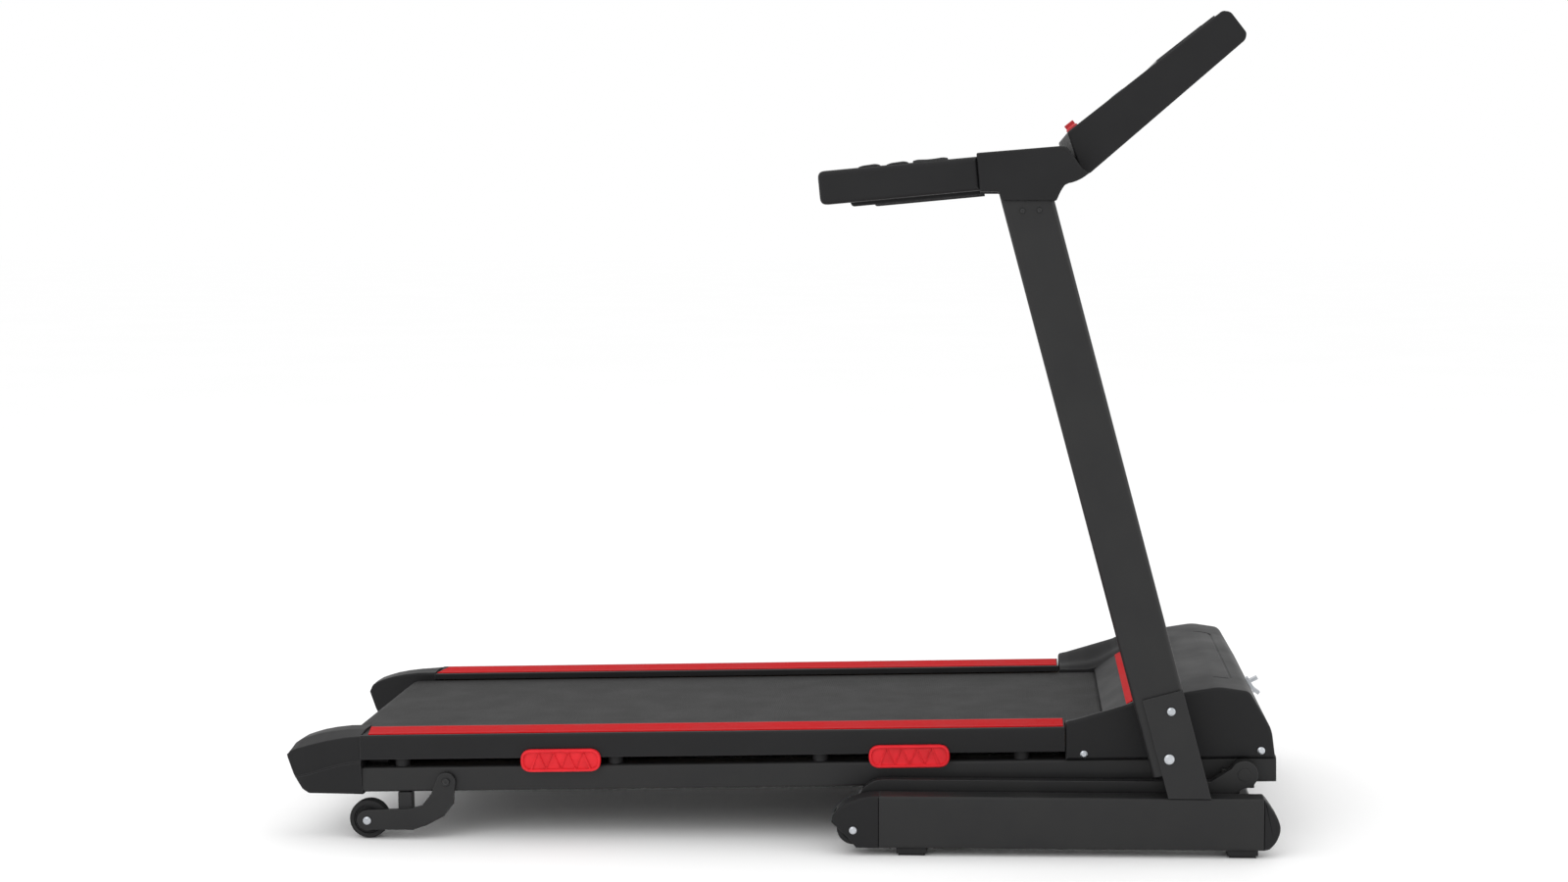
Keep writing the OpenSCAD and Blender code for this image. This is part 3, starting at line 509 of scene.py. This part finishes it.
# The cap is lofted along the deck: at each station its section runs over a flat bottom, a bulged side
# with a crease, a ridge at the outer shoulder, and a crest above the belt's edge
CAP_FRONT, CAP_TIP = -1424, -1545
stations = np.interp(np.linspace(0, 1, 48), [0, 0.55, 1], [CAP_FRONT, -1505, CAP_TIP])


def along(*pairs):
    """Height at each station, drawn straight between the given (station, height) pairs."""
    x, z = np.array(sorted(pairs)).T
    return np.interp(stations, x, z)


cap_bottom = along((CAP_FRONT, -24), (-1512, -21), (-1522, -14), (-1535, 10), (CAP_TIP, 42))
cap_crease = along((CAP_FRONT, 30), (-1450, 27), (-1480, 20), (-1510, 11), (-1530, 7), (-1535, 14),
                   (CAP_TIP, 43))
cap_ridge = along((CAP_FRONT, 73), (-1450, 71), (-1480, 66), (-1510, 59), (-1530, 53.5), (-1540, 50),
                  (CAP_TIP, 44))
cap_crest = along((CAP_FRONT, 77.5), (-1455, 77.5), (-1480, 75), (-1500, 71.5), (-1516, 67),
                  (-1528, 63), (-1540, 56), (CAP_TIP, 45))
narrow = np.clip((stations - CAP_TIP) / 30, 0, 1) ** 0.5
one = np.ones_like(stations)
cap_corners = np.stack([
    np.stack([RAIL_IN * one, cap_bottom], -1), np.stack([282 + 4 * narrow, cap_bottom], -1),
    np.stack([284.5 + 5.5 * narrow, cap_crease], -1),
    np.stack([284.5 + 2.6 * narrow, cap_crease + 2], -1), np.stack([283 + 5 * narrow, cap_ridge], -1),
    np.stack([252 * one, cap_crest], -1), np.stack([RAIL_IN * one, cap_crest - 1], -1)], 1)
cap_back = np.roll(cap_corners, 1, 1) - cap_corners
cap_ahead = np.roll(cap_corners, -1, 1) - cap_corners
reach = np.array([0.02, 0.1, 0.1, 0.1, 0.04, 0.12, 0.06])[:, None]
t = np.linspace(0, 1, 5)[:, None, None, None]
cap_curve = ((1 - t) ** 2 * (cap_corners + cap_back * reach) + 2 * t * (1 - t) * cap_corners
             + t ** 2 * (cap_corners + cap_ahead * reach))
cap_rings = cap_curve.transpose(1, 2, 0, 3).reshape(len(stations), -1, 2)
cap = [weave(np.concatenate([np.broadcast_to(stations[:, None, None], (*cap_rings.shape[:2], 1)),
                             cap_rings], -1), True)]
pair("end_cap", cap, deck, "deck", moulded_abs, "deck_end_cap", "moulded_cover", sharp=50)

# ---- shock absorbers -----------------------------------------------------------------------------

# Each shows a raised rim round a sunk field with a zigzag rib, and has a block behind it
absorbers = []
for u in (-1097, -534):
    shape = rounded(box(u - 65, u + 65, 12.5, 49.5), 18.4, 10)
    inward = mitres(shape)
    rim_rings = np.stack([shape - inward * d for d in (0.0, 0.5, 2.0, 4.0, 5.0, 5.2, 5.2, 0.0)])
    zigzag = np.stack([u + np.linspace(-48, 48, 9), np.where(np.arange(9) % 2, 45.5, 16.5)], 1)
    absorbers += [
        loft(rim_rings, [293, 296.2, 297.4, 297.3, 296.0, 293.6, 291, 291.0], False),
        slab(shape - inward * 4, 290.5, 293.6, 0.3),
        slab(strip(zigzag, 1.5), 293, 296.2, 0.4),
        slab(box(u - 45, u + 45, 21, 43), 256, 285, 0.5),
        slab(box(u - 45, u + 45, 22.2, 34.3), 284, 291.2, 0.3)]
piece("shock_absorbers", both(absorbers), deck, "deck", red_elastomer, ["deck_cushions"],
      "red_elastomer")

# ---- motor hood ----------------------------------------------------------------------------------

HOOD_HALF, WING_IN, WALL, HOOD_RIM = 292, 214, 3, 5
HOOD_FRONT = [(659, 252.5), (707, 260), (755, 253), (791, 191), (794, 167), (797, 146)]
HOLLOW_FRONT = [(659, 249), (706, 256), (752, 249), (787, 190), (790, 167), (793, 120)]
ridge_line = np.array([(461.5, 140), (461.5, 202), (476, 205), (524, 219.5), (562, 231), (567, 234),
                       (613.7, 243.4), *HOOD_FRONT])
valley_line = np.array([(461.5, 140), (461.5, 186.5), (476, 186.5), (526, 187.4), (560, 211.5),
                        (567, 215.7), (613.7, 243.4), *HOOD_FRONT])
wing_corners = [0.5, 5, 5, 20, 6, 6, 30, 30, 10, 9, 12, 10, 3]
# Each wing is lofted across: its side view goes from the outer ridge line down to the valley line
# beside the middle, with a shelf on the way, and its outer rim is a quarter round
lie = np.array([214, 217, 221, 226, 232, 238, 244, 250, 257, 264, 271, 277, 282, 285])
fall = np.array([1, 0.97, 0.86, 0.76, 0.7, 0.67, 0.64, 0.56, 0.43, 0.29, 0.16, 0.07, 0.02, 0])
shapes = ridge_line + (valley_line - ridge_line) * fall[:, None, None]
quarter = np.linspace(0, np.pi / 2, 6)[1:]
drawn_in = HOOD_RIM * (1 - np.cos(quarter))
outer_rim = ridge_line - mitres(ridge_line) * drawn_in[:, None, None]
wing_rings = np.stack([rounded(r, wing_corners, 7)
                       for r in np.concatenate([shapes, [ridge_line], outer_rim])])
lie = np.concatenate([lie, [HOOD_HALF - HOOD_RIM], HOOD_HALF - HOOD_RIM * (1 - np.sin(quarter))])
wing = loft(wing_rings, lie)
middle_shape = [(526, 140), (526, 187.4), (560, 211.5), (613.7, 243.4), *HOOD_FRONT]
middle_corners = [0.5, 2, 6, 30, 30, 10, 9, 12, 10, 3]
wing_hollow = [(461, 120), (464.5, 183), (526, 183), (560, 207.5), (615, 239), *HOLLOW_FRONT]
middle_hollow = [(529.5, 120), (529.5, 185.4), (561, 208), (615, 239.8), *HOLLOW_FRONT]
inlet_window = box(780, 810, 152, 184)
rail_notch = box(450, 488, 120, 180.4)
hood_cuts = both([slab(wing_hollow, WING_IN + WALL, HOOD_HALF - WALL)]) + [
    slab(middle_hollow, -WING_IN - 4, WING_IN + 4), slab(inlet_window, -60, 60),
    slab(rail_notch, -284, 284)]
# A shallow U shaped groove is sunk in the roof, its open side towards the belt
groove_line = rounded([(692, -205), (733, -205), (733, 205), (692, 205)], [0.5, 14, 14, 0.5], 8)
groove_line = np.column_stack([groove_line, 261.3 - (groove_line[:, 0] - 707) * 0.146])
hood_cuts.append(rod(groove_line, 3.2))
hood_middle = slab(middle_shape, -WING_IN - 1, WING_IN + 1, radius=middle_corners)
piece("hood_shell", [hood_middle], level, "deck", moulded_abs, ["motor_hood"], "moulded_cover",
      cuts=hood_cuts, joined=both([wing]))

# ---- wheels --------------------------------------------------------------------------------------

def wheel(name, joint, radius, half, bore, hub_half, node):
    """Tyre with a crowned tread and two grooves, on a plastic rim with a raised hub."""
    centre = pivot[joint]
    tread = np.linspace(-1, 1, 33)
    crown = radius - 1.6 * np.abs(tread) ** 4 - 0.7 * (np.abs(np.abs(tread) - 0.35) < 0.06)
    tyre = np.concatenate([np.stack([crown, tread * half], 1),
                           [(radius - 3.5, half), (radius - 8, half - 0.4), (radius - 8.5, half - 2),
                            (radius - 8.5, -half + 2), (radius - 8, -half + 0.4),
                            (radius - 3.5, -half)]])
    rim = np.array([(radius - 8.4, half - 2), (radius - 10, half - 1.2), (radius - 11, half - 3),
                    (bore + 6.5, half - 3.4), (bore + 6, hub_half), (bore, hub_half), (bore, -hub_half),
                    (bore + 6, -hub_half), (bore + 6.5, -half + 3.4), (radius - 11, -half + 3),
                    (radius - 10, -half + 1.2), (radius - 8.4, -half + 2)])
    body = joint.removesuffix("_spin")
    piece(name + "_tyre", [lathe(tyre, centre, 72)], level, body, rubber, [node], "rubber")
    piece(name + "_rim", [lathe(rim, centre, 72)], level, body, moulded_abs, slot="moulded_cover")


for side in ("left", "right"):
    wheel("rear_" + side, f"rear_wheel_{side}_spin", 31.9, 10.5, 5.1, 11.2, "rear_wheel_" + side)
    wheel("transport_" + side, f"transport_wheel_{side}_spin", 27, 8, 4.1, 10.4,
          "transport_wheel_" + side)

# ---- hand rails ----------------------------------------------------------------------------------

HAND_OUT, HAND_IN, HAND_H, HAND_L = 365, 320, 52, 247.5
PIN_ALONG, PIN_UP = 175, -4.6
grip = [(44, -HAND_H + 1), (47, -HAND_H - 6.5), (HAND_L, -HAND_H - 6.5), (HAND_L, -HAND_H + 1)]
pocket = slab(box(147.5, 202.5, -8, 3), 326.5, 358.5)
pin_hole = slab(circle(PIN_ALONG, PIN_UP, 2.1, 16), 323, 362)
hand = [slab(box(0, HAND_L, -HAND_H, 0), HAND_IN, HAND_OUT, 8, None, [11, 0.5, 0.5, 11])]
cuts = [pocket, pin_hole]
joined = [slab(grip, 323, 331, 2, None, [1, 4, 1, 1])]
pair("hand_rail", hand, handle, "base", moulded_abs, "handle", "moulded_cover", cuts, joined)

pads = [slab([(x, -0.5), (x, 0.6), (x + 7, 2.6), (x + 26, 3.6), (x + 32, 2.4), (x + 34, 0.6),
              (x + 34, -0.5)], 329, 356, 1.0, None, 2) for x in (63, 107)]
piece("sensing_pads", both(pads), handle, "base", grip_rubber, ["pulse_pads"], "rubber")

key_shape = [(148, -3), (170, -7), (180, -7), (202, -3), (202, 2.5), (195, 4), (175, 2.6), (155, 4),
             (148, 2.5)]
pin = slab(circle(PIN_ALONG, PIN_UP, 2, 24), 324, 361, 0.2)
key = [slab(key_shape, 327, 358, 1.2, None, [0.6, 2, 2, 0.6, 1.5, 4, 12, 4, 1.5]), pin]
piece("incline_key", key, handle, "incline_rocker", grip_rubber, ["incline_rocker"], "rubber")
piece("speed_key", right(key), handle, "speed_rocker", grip_rubber, ["speed_rocker"], "rubber")

# Moulded joint cover between hand rail, upright and console bar
joint_shape = [(317.8, 1105.3), (454, 1116.4), (463, 1107), (481, 1080), (492, 1075), (480, 1066),
               (466, 1060), (456, 1059), (448, 1048), (441, 1032), (357, 1032), (352, 1046),
               (323.2, 1046)]
joint_cover = [slab(joint_shape, 320, 367, 1.4, 4, [3, 8, 5, 8, 1.5, 8, 8, 5, 8, 3, 3, 4, 2])]
pair("joint_cover", joint_cover, level, "base", moulded_abs, "upright_cover", "moulded_cover")

# ---- console -------------------------------------------------------------------------------------

CONSOLE_HALF, FACE = 310, 303
shell_shape = [(0, 0), (FACE, 0), (312, -9), (312, -50), (304, -57.4), (-12, -72), (-20, -66),
               (-20, -60)]
recess = turned(slab(box(8, 295, -294, 294), -10, 3, radius=9), [0, 2, 1])
slots = [slab(box(-40, 0, -56, -35), y, y + 42) for y in (-151, 109)]
piece("console_housing", [slab(shell_shape, -CONSOLE_HALF, CONSOLE_HALF, 3.5, None,
                               [3.6, 4, 5, 4, 5, 4.5, 3.8, 3.8])], console, "base", moulded_abs,
      ["console_shell"], "moulded_cover", cuts=[recess, *slots])


def disc(a, y, radius, low, high):
    """Round plate on the console face."""
    return turned(slab(circle(a, y, radius, 40), low, high), [0, 2, 1])


def knob(profile, a, y):
    """Closed profile (radius, height) carried round an axis standing on the console face at (a, y)."""
    r, up = np.array(profile, float).T
    angle = turn_angles(48)[:, None]
    return weave(np.stack([a + r * np.cos(angle), y + r * np.sin(angle),
                           np.broadcast_to(up, (48, len(up)))], -1), False)


def plate(a0, a1, y0, y1, low, high, radius=4, rim=0.4):
    """Flat rectangle with round corners on the console face."""
    return turned(slab(box(a0, a1, y0, y1), low, high, 0.0, rim, radius), [0, 2, 1])


BUTTONS = {"mode": -105, "start": -35, "stop": 35, "program": 105}
BUTTON_A, KEY_A = 110, 23
holes = [disc(BUTTON_A, y, 13.5, -8, 8) for y in BUTTONS.values()] + [disc(KEY_A, 0, 11.5, -8, 8)]
piece("console_face", [plate(8.5, 294.5, -293.5, 293.5, -4, 0, 9, 0.6)], console, "base", panel_film,
      ["console_panel"], "panel_film", cuts=holes)
piece("display_bezel", [plate(178, 293, -283, 283, 0, 2.4, 14, 1.2)], console, "base", satin_abs,
      slot="panel_film", cuts=[plate(190, 282, -140, 140, 0.6, 8, 4, 0)])
for name, y in BUTTONS.items():
    colour, slot = {"start": (green_button, "button_green"), "stop": (red_button, "red_plastic")}.get(
        name, (silver_button, "button_silver"))
    cap_profile = [(0, -8), (15, -8), (15, -6), (13, -6), (13, 1.2), (12.6, 2.1), (11.6, 2.5), (6, 2.2),
                   (0, 2.05)]
    piece(name + "_cap", [knob(cap_profile, BUTTON_A, y)], console, name + "_button", colour,
          [name + "_button"], slot)

# Raised symbols: a triangle, a square, three bars and three steps
marks = {
    "start": [[(BUTTON_A + 5, -39), (BUTTON_A - 5, -39), (BUTTON_A, -29)]],
    "stop": [box(BUTTON_A - 5, BUTTON_A + 5, 30, 40)],
    "mode": [box(BUTTON_A + d, BUTTON_A + d + 2, -112, -98) for d in (-5, -1, 3)],
    "program": [box(BUTTON_A - 6, BUTTON_A - 6 + h, y, y + 3)
                for y, h in ((98, 4), (103, 8), (108, 12))],
}
for name, shapes in marks.items():
    piece(name + "_mark", [turned(slab(s, 2.0, 2.75), [0, 2, 1]) for s in shapes], console,
          name + "_button", pale_ink, slot="button_silver")

# Display: three windows of unlit seven segment figures behind the glass line
segments = []
for centre, count in ((-90, 4), (0, 3), (90, 4)):
    for k in range(count):
        y = centre + (k - (count - 1) / 2) * -15
        for a0, a1, y0, y1 in ((-1, 1, -4, 4), (12, 14, -4, 4), (-14, -12, -4, 4), (2, 11, 4, 6),
                               (2, 11, -6, -4), (-11, -2, 4, 6), (-11, -2, -6, -4)):
            segments.append(plate(236 + a0, 236 + a1, y + y0, y + y1, 4.2, 4.3, 0.8, 0))
piece("display_figures", segments, console, "base", segment_ink, slot="lens")

# Printed guide lines: a frame round the buttons and a long line across the face
lines = [plate(a0, a1, y0, y1, 0, 0.12, 0.4, 0) for a0, a1, y0, y1 in
         ((84, 85, -140, 140), (135, 136, -140, 140), (85, 135, -140, -139), (85, 135, 139, 140),
          (160, 161, -270, 270))]
piece("face_print", lines, console, "base", pale_ink, slot="panel_film")

stem = knob([(0, -3), (11, -3), (11, 4.4), (10.4, 5.4), (8, 7), (0, 7)], KEY_A, 0)
fin = plate(KEY_A - 9, KEY_A + 9, -2.5, 2.5, 6, 13.5, 2, 1.2)
piece("pull_key", [stem, fin], console, "safety_key", red_button, ["safety_key"], "red_plastic")

# ---- base end caps -------------------------------------------------------------------------------

TUBE_IN, TUBE_OUT = 325, 365
arc = np.radians(np.arange(90, 171, 8))
tail = np.concatenate([np.stack([166 + 76 * np.cos(arc), 54 + 42.5 * np.sin(arc)], 1),
                       [(90, 54), (118, 27), (129, 13), (166, 13)]])
nose = [(772, 96.5), (777, 91.5), (785, 80), (794, 66), (799, 52), (798, 40), (792, 26), (782, 15),
        (772, 13)]
wheel_cavity = slab(box(80, 158, -1, 73), 334, 356)
shaft_hole = slab(box(163, 181, 57, 75), 324, 334)
tails = [slab(tail, TUBE_IN, TUBE_OUT, 3.5)]
piece("base_tail_caps", both(tails), level, "base", moulded_abs, ["base_end_caps"], "moulded_cover",
      cuts=both([wheel_cavity, shaft_hole]))
noses = [slab(nose, TUBE_IN, TUBE_OUT, 4, None, [0.5, 6, 8, 8, 8, 8, 8, 6, 0.5])]
piece("base_nose_caps", both(noses), level, "base", moulded_abs, slot="moulded_cover")

# ---- screw heads ---------------------------------------------------------------------------------

def head(centre, out, radius, height):
    """Button head with a round socket, standing out of a side face at centre."""
    r = np.array([0, 0.45, 0.5, 0.56, 0.8, 0.95, 1, 1]) * radius
    y = np.array([0.82, 0.82, 0.96, 1, 0.94, 0.6, 0.3, 0]) * height
    return lathe(np.column_stack([np.append(r, 0), np.append(y, 0)]), (centre[0], out, centre[1]), 24)


covered = [head(p, 361, 4.2, 3.0) for p in ((389, 1017), (415, 1018))]
piece("cover_screws", both(covered), level, "base", powder_coat, slot="frame_paint")
wheel_axis = pivot["rear_wheel_left_spin"]
pivot_heads = [head((wheel_axis[0] + 129.75, wheel_axis[2] + 64.5), 292, 6.8, 3.4)]
piece("arm_pivot_heads", both(pivot_heads), level, "deck", powder_coat, slot="frame_paint")

# ---- studio --------------------------------------------------------------------------------------

# Matt white floor that runs on past the picture on all sides
FLOOR_HALF = 40000
floor_finish = finish("pale_studio_floor", "fefefe", "ffffff", (0.7, 0.8), 40.0, 0.0, patch=900,
                      edge=0.1, Specular_IOR_Level=0.0)
floor_slab = slab(box(-FLOOR_HALF, FLOOR_HALF, -60, 0), -FLOOR_HALF, FLOOR_HALF)
floor_mesh = mesh_of("studio_floor", [floor_slab], level)
floor_mesh.materials.append(floor_finish)
floor = bpy.data.objects.new("studio_floor", floor_mesh)
bpy.context.scene.collection.objects.link(floor)

world = bpy.data.worlds.new("soft_studio")
bpy.context.scene.world = world
world.use_nodes = True
world.node_tree.nodes["Background"].inputs["Color"].default_value = (1, 1, 1, 1)
world.node_tree.nodes["Background"].inputs["Strength"].default_value = 1.0

for name, where, aim, size, power in (
        ("front_softbox", (-1.6, -3.2, 2.9), (0, 0, 0.4), 2.6, 26),
        ("overhead_softbox", (0.4, 0.4, 3.6), (0, 0, 0.3), 3.0, 14),
        ("front_end_softbox", (3.2, -0.8, 1.6), (0.4, 0, 0.5), 2.0, 12)):
    lamp = bpy.data.lights.new(name, "AREA")
    lamp.size, lamp.energy = size, power
    lit = bpy.data.objects.new(name, lamp)
    way = np.array(aim) - np.array(where)
    lit.location = where
    lit.rotation_euler = (math.atan2(math.hypot(way[0], way[1]), -way[2]), 0,
                          math.atan2(-way[0], way[1]))
    bpy.context.scene.collection.objects.link(lit)

lens = bpy.data.cameras.new("camera")
lens.lens, lens.sensor_width, lens.shift_x = 53.85, 36, -0.0969
camera = bpy.data.objects.new("camera", lens)
camera.location = (0.36525, -3.98783, 1.025908)
camera.rotation_euler = (math.radians(90 - 5.74787), 0, math.radians(1.72902))
bpy.context.scene.collection.objects.link(camera)
bpy.context.scene.camera = camera
bpy.context.scene.view_settings.view_transform = "Standard"
